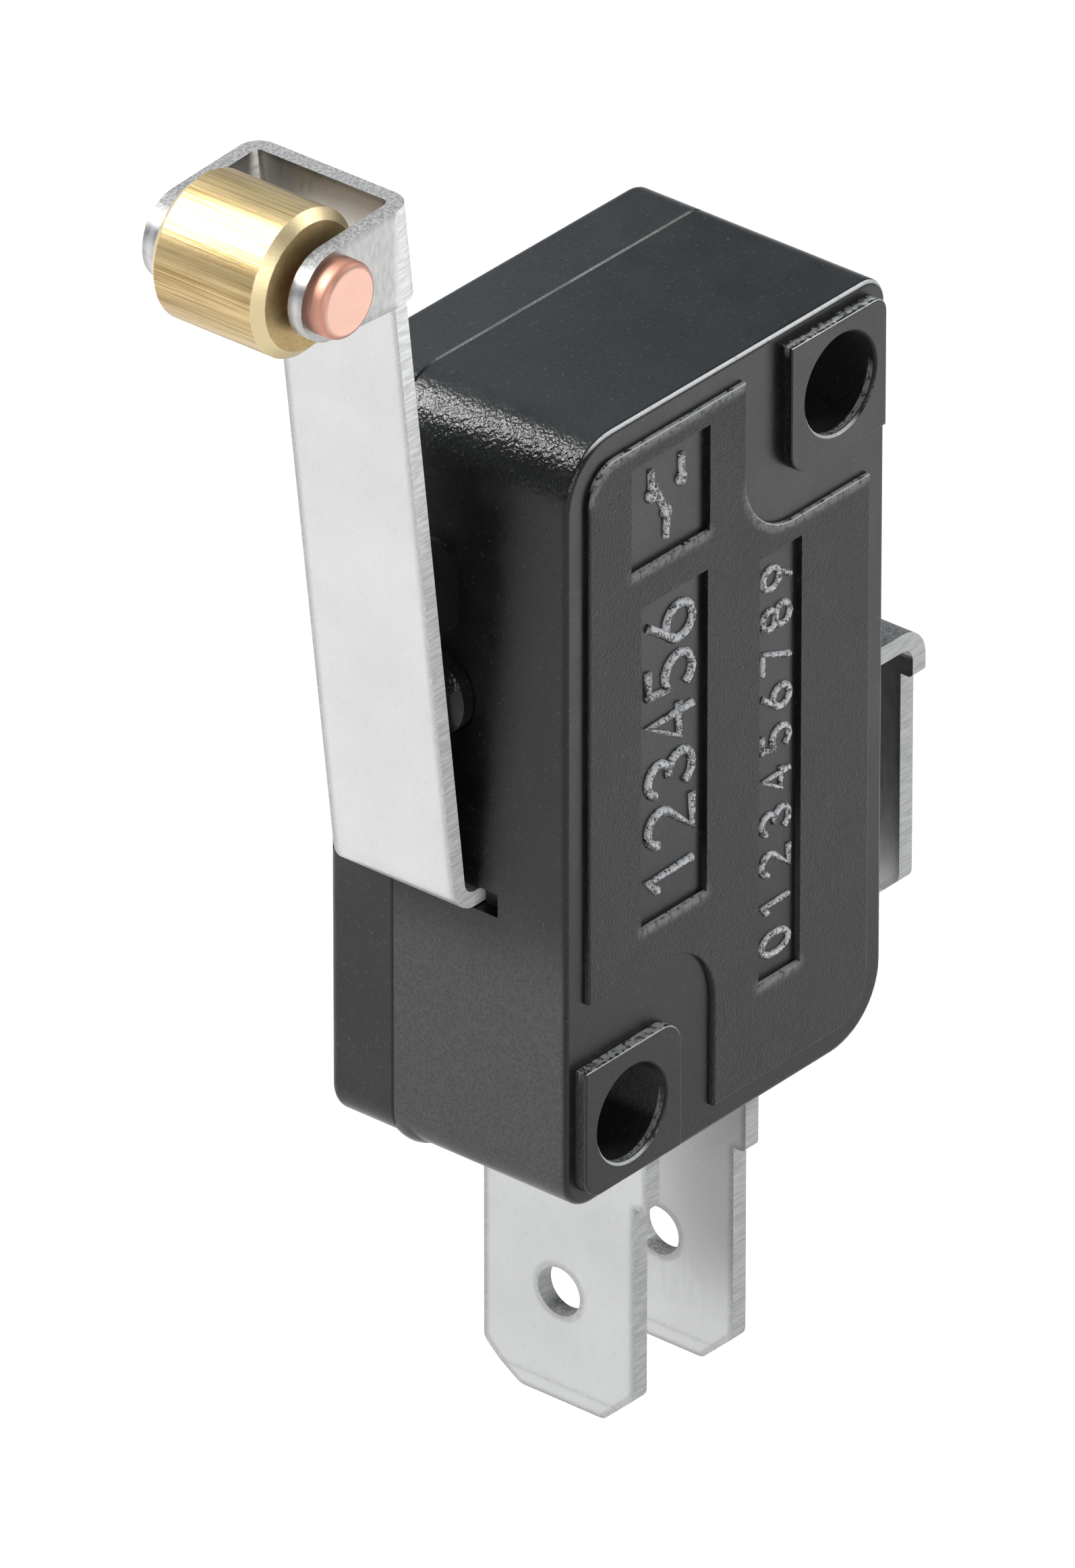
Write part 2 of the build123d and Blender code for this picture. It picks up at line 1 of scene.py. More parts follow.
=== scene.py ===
import math
import bpy
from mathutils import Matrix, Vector


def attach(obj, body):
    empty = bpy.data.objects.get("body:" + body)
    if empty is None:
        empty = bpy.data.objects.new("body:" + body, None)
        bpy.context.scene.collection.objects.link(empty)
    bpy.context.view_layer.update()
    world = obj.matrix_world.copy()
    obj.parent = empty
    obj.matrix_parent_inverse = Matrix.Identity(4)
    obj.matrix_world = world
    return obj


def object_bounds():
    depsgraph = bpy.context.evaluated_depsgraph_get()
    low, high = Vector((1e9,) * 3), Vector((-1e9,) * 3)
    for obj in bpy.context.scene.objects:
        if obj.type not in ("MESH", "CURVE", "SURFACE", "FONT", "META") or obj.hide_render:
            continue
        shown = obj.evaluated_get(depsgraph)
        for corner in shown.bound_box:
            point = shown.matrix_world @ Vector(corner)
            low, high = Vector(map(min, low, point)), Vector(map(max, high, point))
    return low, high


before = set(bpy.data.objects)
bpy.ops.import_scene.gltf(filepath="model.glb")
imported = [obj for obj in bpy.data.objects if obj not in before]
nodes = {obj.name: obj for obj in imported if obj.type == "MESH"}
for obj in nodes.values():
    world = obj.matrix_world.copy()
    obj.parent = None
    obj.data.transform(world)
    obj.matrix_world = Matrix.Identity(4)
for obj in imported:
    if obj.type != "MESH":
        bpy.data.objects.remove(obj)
cad_low, cad_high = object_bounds()

MM = 0.001
WHITE = (1.0, 1.0, 1.0)

# Camera: degrees round and above the part, metres away, and the photo's scale at the part
AZIMUTH, ELEVATION = -50.153, 30.066
DISTANCE = 0.86
PIXELS_PER_MM = 46.474
IMAGE_HEIGHT = 2324
AIM_RIGHT, AIM_UP = -2.373 * MM, -2.75 * MM
SENSOR = 36
CLIP_START, CLIP_END = 0.05, 20

# Floor and world; the floor's glow grows from near to far, between two distances in metres
FLOOR_DROP = 45 * MM
FLOOR_HALF = 4.0
FLOOR_COLOUR = (0.46, 0.46, 0.46)
NEAR_GLOW, FAR_GLOW = 0.41, 0.9
GLOW_FROM, GLOW_TO = 0.25, 0.9
STUDIO_COLOUR = (0.86, 0.93, 1.0)
STUDIO_STRENGTH = 0.38
COOL = (0.88, 0.96, 1.0)

# Square softboxes: name, direction from the part, metres away, metres wide, watts, colour
SOFTBOXES = (
    ("back_left_box", (-0.37, 0.555, 0.745), 0.5, 0.24, 4.1, WHITE),
    ("front_right_box", (0.69, -0.45, 0.55), 0.6, 0.12, 0.9, WHITE),
    ("top_box", (0.1, 0.1, 1.0), 0.7, 0.35, 0.4, WHITE),
    ("back_card", (0.22, 0.55, 0.8), 0.061, 0.05, 0.0047, COOL),
    ("low_card", (0.66, -0.7, -0.28), 0.0584, 0.034, 0.0043, WHITE),
    ("fill_box", (-0.5, -0.8, 0.33), 0.6, 0.3, 1.1, WHITE),
)

# Soft limits of the masks on the body and the lever, in millimetres
PANEL_TOP_Y = (-5.06, -5.0)
PANEL_FOOT_Y = (-4.86, -4.8)
RAISED_Y = (-4.75, -4.72)
FRONT_Y = (-4.5, -4.4)
PAINTED_LIGHT_SIDE_Z = (-6.5, -2.2)
LOWER_HOLE, UPPER_HOLE = (-5.15, -11.1), (5.15, 11.1)
LOWER_HOLE_RIM, UPPER_HOLE_RIM = (1.72, 1.76), (1.77, 1.81)
BOSS_REACH = (3.6, 3.7)
EARS_X = (-12.7, -12.3)

# Colours: body and lower lever side of the three mouldings, the side's tone painted light, then the
# metals and signs
CASE_TONE, CASE_SIDE_TONE = (0.006, 0.0062, 0.0064), (0.044, 0.0445, 0.045)
COVER_TONE, COVER_SIDE_TONE = (0.007, 0.0073, 0.0076), (0.006, 0.0062, 0.0064)
PLUNGER_TONE = (0.006, 0.006, 0.0063)
PLASTIC_SPECK, PLASTIC_HIGHLIGHT_WEAR = (0.08, 0.082, 0.085), (0.5, 0.5, 0.5)
LEVER_STEEL = (0.62, 0.615, 0.605)
TAB_PLATING = (0.535, 0.535, 0.53)
BRASS_DARK, BRASS_LIGHT = (0.31, 0.205, 0.08), (0.66, 0.51, 0.27)
BRASS_SPECK, BRASS_END_SHADE = (0.36, 0.25, 0.1), (0.42, 0.3, 0.14)
BRASS_CHAMFER, BRASS_EDGE_HIGHLIGHT = (0.68, 0.55, 0.32), (0.85, 0.75, 0.52)
COPPER_DARK, COPPER_LIGHT = (0.62, 0.375, 0.295), (0.7, 0.44, 0.36)
COPPER_RIM_SHADE = (0.58, 0.3, 0.22)
BRONZE = (0.72, 0.46, 0.26)
SILVER = (0.88, 0.87, 0.84)
SPRING_STEEL = (0.56, 0.56, 0.58)
SIGN_DARK, SIGN_HIGHLIGHT_WEAR = (0.016, 0.016, 0.017), (0.52, 0.52, 0.525)

# Most of a noise's values lie between these
MIDDLE = (0.3, 0.7)

# Raised signs: their centre line's Y and the width of a digit as a share of its height
SIGN_Y = -4.68 * MM
DIGIT_WIDTH = 0.56


# Node helpers

def shade(colour, gain):
    return tuple(gain * c for c in colour)


class Tree:
    """Nodes of a material or a world, with short ways to add and join them."""

    MIX_A, MIX_B, MIX_RESULT = 6, 7, 2  # colour sockets of the Mix node

    def __init__(self, owner, output_kind):
        owner.use_nodes = True
        self.tree = owner.node_tree
        self.tree.nodes.clear()
        self.surface = self.add(output_kind).inputs["Surface"]

    def add(self, kind, **values):
        node = self.tree.nodes.new(kind)
        for name, value in values.items():
            setattr(node, name, value)
        return node

    def link(self, source, target):
        self.tree.links.new(source, target)

    def put(self, value, socket):
        if isinstance(value, (int, float, tuple)):
            socket.default_value = value
        else:
            self.link(value, socket)

    def math(self, operation, a, b=0.0):
        node = self.add("ShaderNodeMath", operation=operation)
        self.put(a, node.inputs[0])
        self.put(b, node.inputs[1])
        return node.outputs[0]

    def times(self, *values):
        result = values[0]
        for value in values[1:]:
            result = self.math("MULTIPLY", result, value)
        return result

    def plus(self, a, b):
        return self.math("ADD", a, b)

    def minus(self, a, b):
        return self.math("SUBTRACT", a, b)

    def larger(self, a, b):
        return self.math("MAXIMUM", a, b)

    def ramp(self, value, low, high, out_low=0.0, out_high=1.0):
        """Smooth step from out_low to out_high while the value goes from low to high."""
        node = self.add("ShaderNodeMapRange", interpolation_type="SMOOTHSTEP")
        self.put(value, node.inputs["Value"])
        limits = {"From Min": low, "From Max": high, "To Min": out_low, "To Max": out_high}
        for socket, number in limits.items():
            self.put(number, node.inputs[socket])
        return node.outputs["Result"]

    def fall(self, value, low, high):
        return self.ramp(value, low, high, 1.0, 0.0)

    def rise_mm(self, value, span):
        return self.ramp(value, span[0] * MM, span[1] * MM)

    def fall_mm(self, value, span):
        return self.fall(value, span[0] * MM, span[1] * MM)

    def coloured(self, kind, colour):
        node = self.add(kind)
        node.inputs["Color"].default_value = (*colour, 1)
        return node

    def mix_shader(self, factor, low, high):
        node = self.add("ShaderNodeMixShader")
        self.link(factor, node.inputs["Fac"])
        self.link(low.outputs[0], node.inputs[1])
        self.link(high.outputs[0], node.inputs[2])
        return node.outputs[0]

    def mix_colour(self, factor, low, high):
        node = self.add("ShaderNodeMix", data_type="RGBA")
        self.put(factor, node.inputs["Factor"])
        for value, index in ((low, self.MIX_A), (high, self.MIX_B)):
            colour = (*value, 1) if isinstance(value, tuple) else value
            self.put(colour, node.inputs[index])
        return node.outputs[self.MIX_RESULT]


class Shader(Tree):
    """Principled material with object coordinates in metres."""

    def __init__(self, name, **constants):
        self.material = bpy.data.materials.new(name)
        super().__init__(self.material, "ShaderNodeOutputMaterial")
        self.bsdf = self.add("ShaderNodeBsdfPrincipled")
        self.link(self.bsdf.outputs[0], self.surface)
        self.coordinates = self.add("ShaderNodeTexCoord").outputs["Object"]
        self.normal = self.add("ShaderNodeNewGeometry").outputs["Normal"]
        for socket, value in constants.items():
            self.set(socket.replace("_", " "), value)

    def set(self, socket, value):
        self.put(value, self.bsdf.inputs[socket])

    def part_of(self, vector, index):
        node = self.add("ShaderNodeSeparateXYZ")
        self.link(vector, node.inputs[0])
        return node.outputs[index]

    def axis(self, index):
        return self.part_of(self.coordinates, index)

    def facing(self, index):
        """How far the surface faces along an axis, from -1 to 1."""
        return self.part_of(self.normal, index)

    def across(self, index):
        """How far the surface faces along an axis either way, from 0 to 1."""
        return self.math("ABSOLUTE", self.facing(index))

    def dot(self, a, b):
        node = self.add("ShaderNodeVectorMath", operation="DOT_PRODUCT")
        self.put(a, node.inputs[0])
        self.put(b, node.inputs[1])
        return node.outputs["Value"]

    def rounded(self, radius_mm):
        """Normal of the surface with its sharp edges rounded a little."""
        node = self.add("ShaderNodeBevel", samples=3)
        node.inputs["Radius"].default_value = radius_mm * MM
        return node.outputs[0]

    def edge(self, rounded, low, high):
        """1 close to the sharp edges, from how far the rounded normal leans there."""
        return self.ramp(self.minus(1.0, self.dot(rounded, self.normal)), low, high)

    def distance(self, point):
        """Distance in metres from an axis along Y through a point given in millimetres."""
        flat = self.add("ShaderNodeVectorMath", operation="MULTIPLY")
        self.link(self.coordinates, flat.inputs[0])
        flat.inputs[1].default_value = (1, 0, 1)
        node = self.add("ShaderNodeVectorMath", operation="DISTANCE")
        self.link(flat.outputs[0], node.inputs[0])
        node.inputs[1].default_value = (point[0] * MM, 0, point[1] * MM)
        return node.outputs["Value"]

    def noise(self, size, detail=3.0, rough=0.6, seed=0.0):
        """Noise with grains of about one size, or of three along X, Y and Z, in millimetres."""
        sizes = size if isinstance(size, tuple) else (size, size, size)
        mapping = self.add("ShaderNodeMapping")
        mapping.inputs["Scale"].default_value = tuple(1 / (s * MM) for s in sizes)
        mapping.inputs["Location"].default_value = (seed, seed * 0.7, seed * 1.3)
        self.link(self.coordinates, mapping.inputs["Vector"])
        node = self.add("ShaderNodeTexNoise")
        node.inputs["Scale"].default_value = 1.0
        node.inputs["Detail"].default_value = detail
        node.inputs["Roughness"].default_value = rough
        self.link(mapping.outputs[0], node.inputs["Vector"])
        return node.outputs["Fac"]

    def bump(self, height, depth_mm, strength, below=None):
        node = self.add("ShaderNodeBump")
        node.inputs["Distance"].default_value = depth_mm * MM
        self.put(strength, node.inputs["Strength"])
        self.link(height, node.inputs["Height"])
        if below is not None:
            self.link(below, node.inputs["Normal"])
        return node.outputs[0]


# Camera and stage

def place(name, data):
    thing = bpy.data.objects.new(name, data)
    bpy.context.scene.collection.objects.link(thing)
    return thing


def make_camera():
    azimuth, elevation = math.radians(AZIMUTH), math.radians(ELEVATION)
    back = Vector((
        math.sin(azimuth) * math.cos(elevation),
        -math.cos(azimuth) * math.cos(elevation),
        math.sin(elevation),
    ))
    right = Vector((math.cos(azimuth), math.sin(azimuth), 0))
    up = back.cross(right)
    data = bpy.data.cameras.new("camera")
    data.sensor_width = SENSOR
    data.lens = SENSOR * DISTANCE / (IMAGE_HEIGHT / PIXELS_PER_MM * MM)
    data.clip_start, data.clip_end = CLIP_START, CLIP_END
    camera = place("camera", data)
    camera.location = right * AIM_RIGHT + up * AIM_UP + back * DISTANCE
    camera.rotation_mode = "QUATERNION"
    camera.rotation_quaternion = (-back).to_track_quat("-Z", "Y")
    bpy.context.scene.camera = camera


def make_floor():
    """Pale floor that takes shadows, is white to the camera and in reflections, clear from below."""
    mesh = bpy.data.meshes.new("floor")
    square = ((-1, -1), (1, -1), (1, 1), (-1, 1))
    corners = [(x * FLOOR_HALF, y * FLOOR_HALF, cad_low.z - FLOOR_DROP) for x, y in square]
    mesh.from_pydata(corners, [], [(0, 1, 2, 3)])
    floor = place("floor", mesh)
    material = bpy.data.materials.new("floor")
    tree = Tree(material, "ShaderNodeOutputMaterial")
    geometry = tree.add("ShaderNodeNewGeometry")
    reach = tree.add("ShaderNodeVectorMath", operation="LENGTH")
    tree.link(geometry.outputs["Position"], reach.inputs[0])
    level = tree.ramp(reach.outputs["Value"], GLOW_FROM, GLOW_TO, NEAR_GLOW, FAR_GLOW)
    path = tree.add("ShaderNodeLightPath")
    seen = tree.larger(path.outputs["Is Camera Ray"], path.outputs["Is Glossy Ray"])
    seen = tree.larger(seen, path.outputs["Is Transmission Ray"])
    glow = tree.coloured("ShaderNodeEmission", WHITE)
    tree.link(tree.times(seen, level), glow.inputs["Strength"])
    diffuse = tree.coloured("ShaderNodeBsdfDiffuse", FLOOR_COLOUR)
    lit = tree.add("ShaderNodeAddShader")
    tree.link(diffuse.outputs[0], lit.inputs[0])
    tree.link(glow.outputs[0], lit.inputs[1])
    clear = tree.add("ShaderNodeBsdfTransparent")
    tree.link(tree.mix_shader(geometry.outputs["Backfacing"], lit, clear), tree.surface)
    mesh.materials.append(material)


def make_world():
    """Soft bluish light all round, seen white by the camera."""
    world = bpy.data.worlds.new("studio")
    bpy.context.scene.world = world
    tree = Tree(world, "ShaderNodeOutputWorld")
    studio = tree.coloured("ShaderNodeBackground", STUDIO_COLOUR)
    studio.inputs["Strength"].default_value = STUDIO_STRENGTH
    white = tree.coloured("ShaderNodeBackground", WHITE)
    white.inputs["Strength"].default_value = 1.0
    camera_ray = tree.add("ShaderNodeLightPath").outputs["Is Camera Ray"]
    tree.link(tree.mix_shader(camera_ray, studio, white), tree.surface)


def add_softbox(name, direction, distance, width, power, colour):
    data = bpy.data.lights.new(name, "AREA")
    data.shape = "SQUARE"
    data.size = width
    data.energy = power
    data.color = colour
    light = place(name, data)
    towards = Vector(direction).normalized()
    light.location = towards * distance
    light.rotation_mode = "QUATERNION"
    light.rotation_quaternion = towards.to_track_quat("Z", "Y")


# Materials

def outside_holes(s):
    """0 in the two screw holes, else 1."""
    return s.math(
        "MINIMUM",
        s.rise_mm(s.distance(LOWER_HOLE), LOWER_HOLE_RIM),
        s.rise_mm(s.distance(UPPER_HOLE), UPPER_HOLE_RIM),
    )


def up_facing_highlight_and_wear(s, panel, coarse, out_of_holes):
    """Mask of painted highlight in worn patches on a moulding: front edges and walls that face up.
    """
    y, ny, nz = s.axis(1), s.facing(1), s.facing(2)
    to_lower, to_upper = s.distance(LOWER_HOLE), s.distance(UPPER_HOLE)
    sparing = s.plus(
        s.times(s.fall_mm(to_lower, BOSS_REACH), 0.05),
        s.times(s.fall_mm(to_upper, BOSS_REACH), 0.16),
    )
    # Walls that face up: painted highlight in patches, less of it near the bosses
    highlight_wall = s.times(
        s.ramp(nz, 0.4, 0.75),
        s.fall_mm(y, RAISED_Y),
        out_of_holes,
        s.ramp(s.minus(coarse, sparing), 0.36, 0.5),
    )
    # Front edges whose rounding faces up and to the right: a painted highlight line
    line = s.times(
        s.fall_mm(y, FRONT_Y),
        s.ramp(s.dot(s.normal, (0.6, 0.0, 0.8)), 0.2, 0.45),
        s.ramp(ny, -0.95, -0.85),
        s.fall(ny, -0.5, -0.4),
        s.ramp(coarse, 0.3, 0.45, 0.6, 1.0),
    )
    # Upper edges of the raised panel: a painted highlight line
    highlight_brink = s.times(
        panel,
        s.ramp(s.dot(s.rounded(0.5), (0.0, 0.0, 1.0)), 0.03, 0.14),
        s.ramp(coarse, 0.36, 0.52, 0.1, 0.55),
    )
    return s.larger(s.larger(s.times(highlight_wall, 0.75), line), highlight_brink)


def moulded_plastic(name, seed, tone, side_tone, gloss):
    """Dark moulding: rougher lower lever side with painted light, grainy panel, painted highlight in
    worn patches where edges and walls face up.
    """
    s = Shader(name, Specular_IOR_Level=gloss)
    y, z, nx, nz = s.axis(1), s.axis(2), s.facing(0), s.facing(2)
    fine = s.noise(0.08, 2.0, 0.6, seed)
    coarse = s.noise(0.22, 3.0, 0.6, seed + 3)
    cloud = s.noise(2.6, 3.0, 0.6, seed + 7)
    scratch = s.noise((0.08, 1.4, 0.5), 2.0, 0.5, seed + 9)
    leather = s.noise(0.16, 2.0, 0.5, seed + 11)
    panel = s.times(s.fall_mm(y, PANEL_FOOT_Y), s.rise_mm(y, PANEL_TOP_Y))
    # Lower part of the lever side: rougher, and lighter in colour there as painted light below the
    # lever's shade
    side = s.times(s.fall(nx, -0.95, -0.8), s.fall_mm(z, PAINTED_LIGHT_SIDE_Z))
    corner = s.times(s.fall(nx, -0.6, -0.15), s.ramp(nz, 0.1, 0.4))
    out_of_holes = outside_holes(s)
    highlight_and_wear = up_facing_highlight_and_wear(s, panel, coarse, out_of_holes)

    body = s.mix_colour(s.ramp(cloud, *MIDDLE), shade(tone, 0.7), shade(tone, 1.4))
    # Painted light: the lighter colour of the lower lever side
    painted_side_light = s.mix_colour(s.ramp(fine, 0.35, 0.6), shade(side_tone, 0.7), shade(side_tone, 1.2))
    body = s.mix_colour(side, body, painted_side_light)
    speck = s.times(s.ramp(fine, 0.58, 0.68), s.ramp(coarse, 0.5, 0.62))
    body = s.mix_colour(s.times(speck, 0.5), body, PLASTIC_SPECK)
    # Painted highlight and wear where edges and walls face up
    s.set("Base Color", s.mix_colour(highlight_and_wear, body, PLASTIC_HIGHLIGHT_WEAR))

    rough = s.minus(s.ramp(cloud, *MIDDLE, 0.3, 0.38), s.times(corner, 0.17))
    rough = s.plus(rough, s.ramp(out_of_holes, 0.0, 1.0, 0.45, 0.0))
    s.set("Roughness", s.plus(rough, s.times(side, 0.1)))

    strength = s.plus(s.times(panel, 0.15), s.times(corner, 0.12))
    grain = s.bump(leather, 0.12, s.times(corner, 0.4))
    grain = s.bump(fine, 0.045, s.plus(s.times(panel, 0.85), s.plus(strength, 0.1)), grain)
    grain = s.bump(scratch, 0.012, s.times(s.ramp(nz, 0.9, 0.97), 0.7), grain)
    s.set("Normal", s.bump(coarse, 0.07, s.plus(strength, 0.08), grain))
    return s.material


def plated_sheet(name, colour, seed, side_gain):
    """Plated stamping: satin faces with faint cloud, dull sheared sides, painted shade on the ears'
    faces and as dark lines along the face edges, the lever's sheared sides lighter as painted light.
    """
    s = Shader(name)
    nz = s.across(2)
    sideways = s.ramp(s.across(1), 0.6, 0.8)
    past_ears = s.rise_mm(s.axis(0), EARS_X)
    sheared = s.larger(s.times(sideways, past_ears), s.ramp(nz, 0.6, 0.8))
    ear_face_shade = s.times(sideways, s.minus(1.0, past_ears))
    cloud = s.noise(3.0, 3.0, 0.5, seed)
    satin = s.noise((0.16, 0.16, 0.5), 3.0, 0.6, seed + 2)
    shear = s.noise((0.9, 0.9, 0.1), 3.0, 0.6, seed + 4)
    pit = s.noise(0.1, 2.0, 0.6, seed + 6)

    face = s.mix_colour(s.ramp(cloud, *MIDDLE), shade(colour, 0.94), colour)
    face = s.mix_colour(s.ramp(pit, 0.58, 0.75, 0.0, 0.3), face, shade(colour, 0.6))
    # Painted shade: the ears' flat faces darker than the rest of the plating
    face = s.mix_colour(ear_face_shade, face, shade(colour, 0.55))
    # Cut sides at side_gain times the plating: rougher and less metallic, and on the lever, with
    # gain above 1, lighter as painted light
    cut = s.mix_colour(
        s.ramp(shear, 0.35, 0.65), shade(colour, 0.75 * side_gain), shade(colour, side_gain))
    rim = s.mix_colour(s.ramp(pit, 0.4, 0.6), shade(colour, 0.5), shade(colour, 0.28))
    cut = s.mix_colour(s.ramp(nz, 0.6, 0.9), cut, rim)
    whole = s.mix_colour(sheared, face, cut)
    # Painted shade: a dark line on the faces along their edges
    line = s.times(
        s.edge(s.rounded(0.4), 0.002, 0.03),
        s.fall(sheared, 0.0, 1.0),
        s.ramp(pit, 0.35, 0.5, 0.55, 0.9),
    )
    s.set("Base Color", s.mix_colour(line, whole, shade(colour, 0.3)))
    s.set("Metallic", s.ramp(sheared, 0.0, 1.0, 1.0, 0.3))
    s.set("Roughness", s.plus(s.ramp(satin, *MIDDLE, 0.3, 0.4), s.times(sheared, 0.25)))
    s.set("Normal", s.bump(shear, 0.02, s.times(sheared, 0.5), s.bump(satin, 0.006, 0.5)))
    return s.material


def drawn_brass():
    """Brass rod turned to length: lines along the axis, lighter chamfers, a painted highlight along
    the sharp edges, and painted shade on the ends, which are also rougher.
    """
    s = Shader("drawn_brass", Metallic=1.0)
    lines = s.noise((0.05, 5.0, 0.05), 4.0, 0.65, 1.0)
    broad = s.noise((0.5, 6.0, 0.5), 2.0, 0.5, 5.0)
    speck = s.noise(0.2, 3.0, 0.6, 9.0)
    rounded = s.rounded(0.06)
    end = s.ramp(s.across(1), 0.85, 0.95)
    chamfer = s.times(s.ramp(s.across(1), 0.3, 0.5), s.minus(1.0, end))
    tone = s.plus(s.times(lines, 0.65), s.times(broad, 0.35))
    colour = s.mix_colour(s.ramp(tone, 0.36, 0.64), BRASS_DARK, BRASS_LIGHT)
    colour = s.mix_colour(s.ramp(speck, 0.55, 0.75, 0.0, 0.25), colour, BRASS_SPECK)
    colour = s.mix_colour(chamfer, colour, BRASS_CHAMFER)
    # Painted shade: the ends darker
    colour = s.mix_colour(s.times(end, 0.7), colour, BRASS_END_SHADE)
    # Painted highlight: a bright ring along the sharp edges
    s.set("Base Color", s.mix_colour(s.edge(rounded, 0.03, 0.2), colour, BRASS_EDGE_HIGHLIGHT))
    s.set("Roughness", s.plus(s.ramp(lines, *MIDDLE, 0.46, 0.34), s.times(end, 0.12)))
    s.set("Normal", s.bump(lines, 0.012, 0.6, rounded))
    return s.material


def satin_copper():
    """Copper rivet, satin, with painted shade round the rim, which is also rougher."""
    s = Shader("satin_copper", Metallic=1.0)
    cloud = s.noise(0.9, 3.0, 0.6, 2.0)
    fine = s.noise(0.06, 2.0, 0.6, 4.0)
    face = s.ramp(s.across(1), 0.75, 0.97)
    light = s.mix_colour(s.ramp(cloud, *MIDDLE), COPPER_DARK, COPPER_LIGHT)
    # Painted shade: the rim darker than the face
    s.set("Base Color", s.mix_colour(face, COPPER_RIM_SHADE, light))
    rim_roughness = s.ramp(face, 0.0, 1.0, 0.14, 0.0)
    s.set("Roughness", s.plus(s.ramp(cloud, *MIDDLE, 0.36, 0.46), rim_roughness))
    s.set("Normal", s.bump(fine, 0.004, 0.4))
    return s.material


def inner_metal(name, colour, roughness, seed):
    """Rolled or drawn metal inside the body."""
    s = Shader(name, Metallic=1.0)
    cloud = s.noise(0.8, 3.0, 0.6, seed)
    rolled = s.noise((0.1, 1.5, 0.1), 3.0, 0.6, seed + 1)
    s.set("Base Color", s.mix_colour(s.ramp(cloud, *MIDDLE), shade(colour, 0.8), colour))
    s.set("Roughness", s.ramp(rolled, *MIDDLE, roughness - 0.06, roughness + 0.06))
    s.set("Normal", s.bump(rolled, 0.004, 0.4))
    return s.material


def raised_sign():
    """Raised signs of the case, rubbed bright in specks as wear, with more specks on the sides that
    face up as painted highlight.
    """
    s = Shader("raised_sign", Specular_IOR_Level=0.6)
    fine = s.noise(0.07, 2.0, 0.6, 60.0)
    coarse = s.noise(0.2, 3.0, 0.6, 63.0)
    mottle = s.plus(s.times(fine, 0.5), s.times(coarse, 0.5))
    # Sides that face up get more bright specks: painted highlight
    upper = s.ramp(s.dot(s.normal, (-0.35, 0.0, 0.94)), -0.5, 0.5)
    highlight_and_wear = s.ramp(s.plus(mottle, s.times(upper, 0.12)), 0.52, 0.62)
    s.set("Base Color", s.mix_colour(highlight_and_wear, SIGN_DARK, SIGN_HIGHLIGHT_WEAR))
    s.set("Roughness", s.ramp(coarse, *MIDDLE, 0.25, 0.4))
    s.set("Normal", s.bump(coarse, 0.06, 0.7))
    return s.material


def dress(material, *names):
    for name in names:
        mesh = nodes[name].data
        mesh.materials.clear()
        mesh.materials.append(material)


# Raised generic signs on the front: plain digits in two fields, a changeover contact in the third

def arc(x, y, rx, ry, start, end, steps=10):
    angles = [math.radians(start + (end - start) * i / steps) for i in range(steps + 1)]
    return [(x + rx * math.cos(a), y + ry * math.sin(a)) for a in angles]


def digit_strokes(digit):
    """Centre lines of a digit in a box DIGIT_WIDTH wide and 1 high."""
    upper = (0.28, 0.76, 0.25, 0.24)
    lower = (0.28, 0.27, 0.28, 0.27)
    strokes = {
        0: [arc(0.28, 0.5, 0.28, 0.5, 0, 360, 24)],
        1: [[(0.08, 0.78), (0.3, 1.0), (0.3, 0.0)]],
        2: [arc(0.28, 0.72, 0.27, 0.28, 170, -35) + [(0.02, 0.0), (0.56, 0.0)]],
        3: [arc(*upper, 160, -90) + arc(*lower, 90, -160)],
        4: [[(0.42, 0.0), (0.42, 1.0), (0.0, 0.3), (0.56, 0.3)]],
        5: [[(0.52, 1.0), (0.1, 1.0), (0.06, 0.54)] + arc(0.27, 0.31, 0.29, 0.31, 135, -150)],
        6: [[(0.44, 1.0)] + arc(0.28, 0.3, 0.28, 0.3, 165, 525, 20)],
        7: [[(0.0, 1.0), (0.56, 1.0), (0.18, 0.0)]],
        8: [arc(*upper, -90, 270, 18), arc(*lower, 90, 450, 18)],
        9: [arc(0.28, 0.7, 0.28, 0.3, -15, 345, 20) + [(0.14, 0.0)]],
    }
    return strokes[digit]


def digit_row(digits, x, z, height, pitch):
    """Digits that read upwards, centred on x and z in millimetres."""
    start = z - ((len(digits) - 1) * pitch + DIGIT_WIDTH * height) / 2
    lines = []
    for i, digit in enumerate(digits):
        foot = start + i * pitch
        for stroke in digit_strokes(digit):
            lines.append([(x + height / 2 - b * height, foot + a * height) for a, b in stroke])
    return lines


def contact_symbol(x, z):
    """Changeover contact, reading upwards: one arm between two fixed contacts."""
    strokes = (
        [(-1.35, 0.0), (-0.45, 0.0), (0.75, 0.62)],
        [(1.35, 0.75), (0.6, 0.75)],
        [(1.35, -0.75), (0.6, -0.75)],
    )
    dots = ((-0.45, 0.0), (0.45, 0.75), (0.45, -0.75))
    ring = arc(0.0, 0.0, 0.13, 0.13, 0, 360)
    lines = [[(x - b, z + a) for a, b in stroke] for stroke in strokes]
    for a, b in dots:
        lines.append([(x - b - q, z + a + p) for p, q in ring])
    return lines


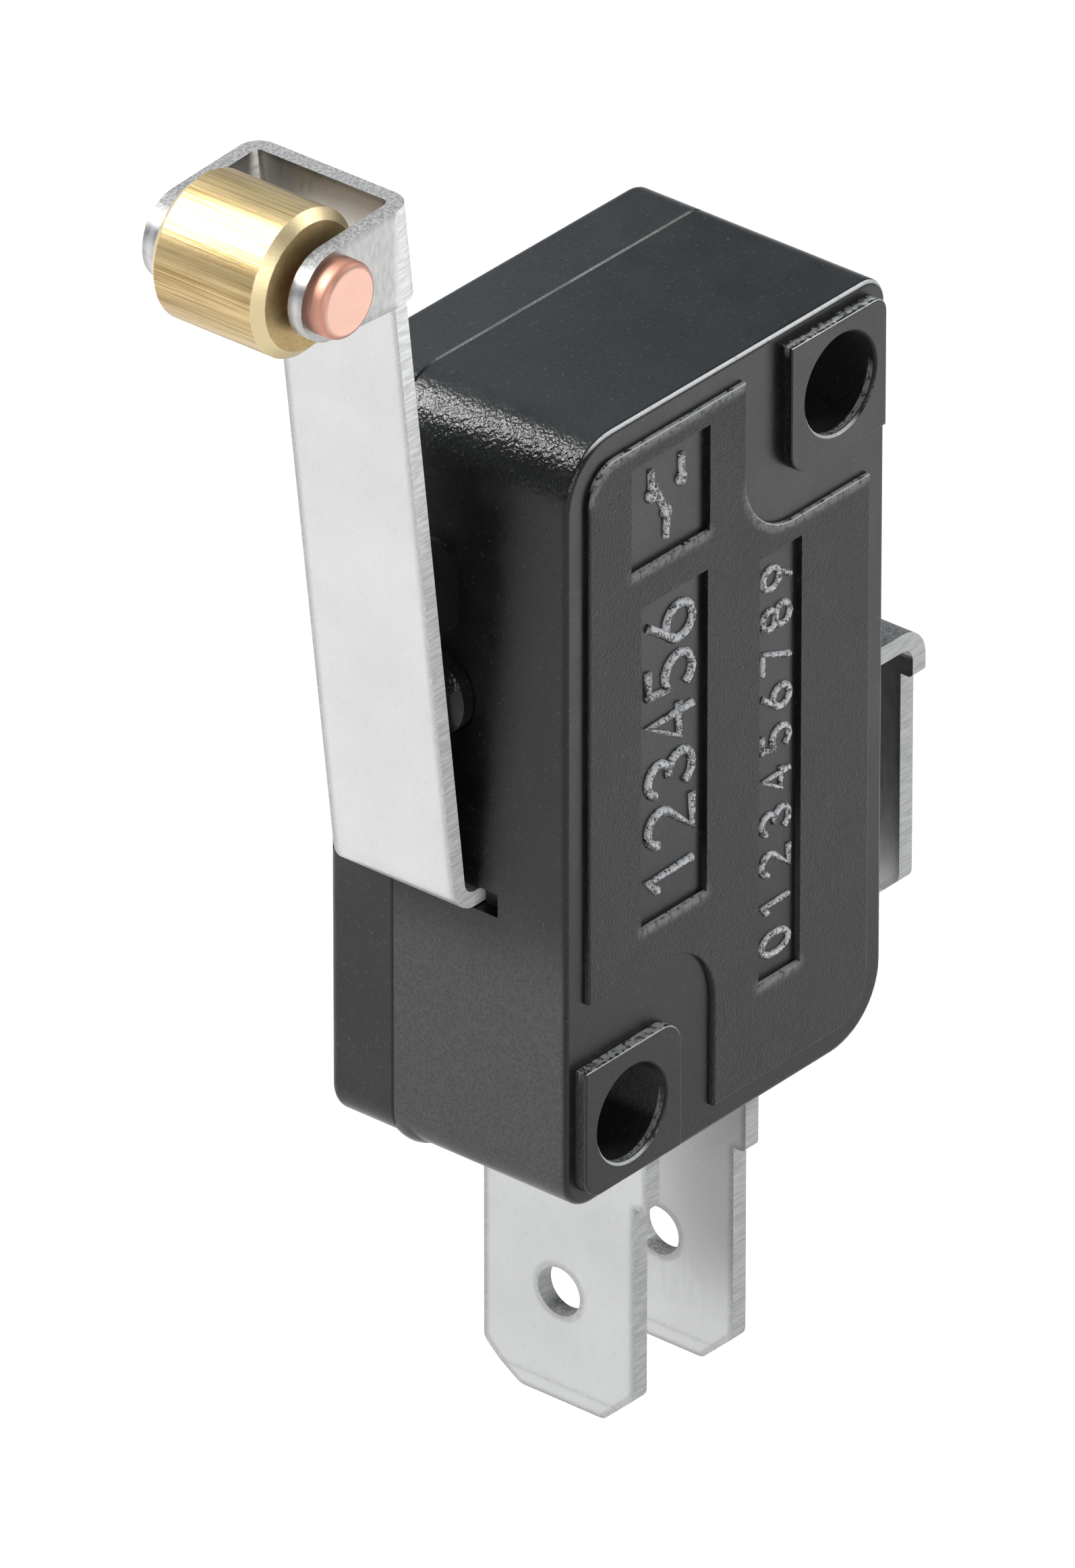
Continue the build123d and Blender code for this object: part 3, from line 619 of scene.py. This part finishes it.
def make_sign(name, lines, radius, material):
    """Mesh of round beads along lines in millimetres, set into the field's floor."""
    curve = bpy.data.curves.new(name, "CURVE")
    curve.dimensions = "3D"
    curve.bevel_depth = radius * MM
    curve.bevel_resolution = 3
    curve.use_fill_caps = True
    for line in lines:
        spline = curve.splines.new("POLY")
        spline.points.add(len(line) - 1)
        for point, (x, z) in zip(spline.points, line):
            point.co = (x * MM, SIGN_Y, z * MM, 1)
    shape = place(name, curve)
    depsgraph = bpy.context.evaluated_depsgraph_get()
    mesh = bpy.data.meshes.new_from_object(shape.evaluated_get(depsgraph))
    bpy.data.objects.remove(shape)
    mesh.name = name
    mesh.shade_smooth()
    mesh.materials.clear()
    mesh.materials.append(material)
    sign = place(name, mesh)
    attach(sign, "housing")


make_camera()
make_floor()
make_world()
for softbox in SOFTBOXES:
    add_softbox(*softbox)

dress(moulded_plastic("case_plastic", 0.0, CASE_TONE, CASE_SIDE_TONE, 0.32), "case")
dress(moulded_plastic("cover_plastic", 20.0, COVER_TONE, COVER_SIDE_TONE, 0.4), "cover")
dress(moulded_plastic("plunger_plastic", 40.0, PLUNGER_TONE, PLUNGER_TONE, 0.3), "plunger")
# Gain 1.55 paints the lever's sheared sides lighter, as painted light
dress(plated_sheet("lever_steel", LEVER_STEEL, 0.0, 1.55), "roller_lever")
dress(plated_sheet("terminal_plating", TAB_PLATING, 30.0, 0.85),
      "normally_closed_terminal", "normally_open_terminal", "common_terminal")
dress(drawn_brass(), "roller")
dress(satin_copper(), "roller_pin")
dress(inner_metal("arm_bronze", BRONZE, 0.35, 1.0), "drive_arm", "contact_arm")
dress(inner_metal("contact_silver", SILVER, 0.25, 5.0),
      "moving_contact", "normally_closed_contact", "normally_open_contact")
dress(inner_metal("spring_steel", SPRING_STEEL, 0.3, 9.0), "snap_spring")

sign_material = raised_sign()
long_row = digit_row((1, 2, 3, 4, 5, 6), x=-2.8, z=1.1, height=2.2, pitch=1.8)
narrow_row = digit_row(tuple(range(10)), x=2.5, z=-1.65, height=1.36, pitch=1.5)
make_sign("digits_long_field", long_row, 0.17, sign_material)
make_sign("digits_narrow_field", narrow_row, 0.13, sign_material)
make_sign("contact_symbol", contact_symbol(x=-3.0, z=10.28), 0.15, sign_material)

bpy.context.scene.view_settings.view_transform = "Standard"
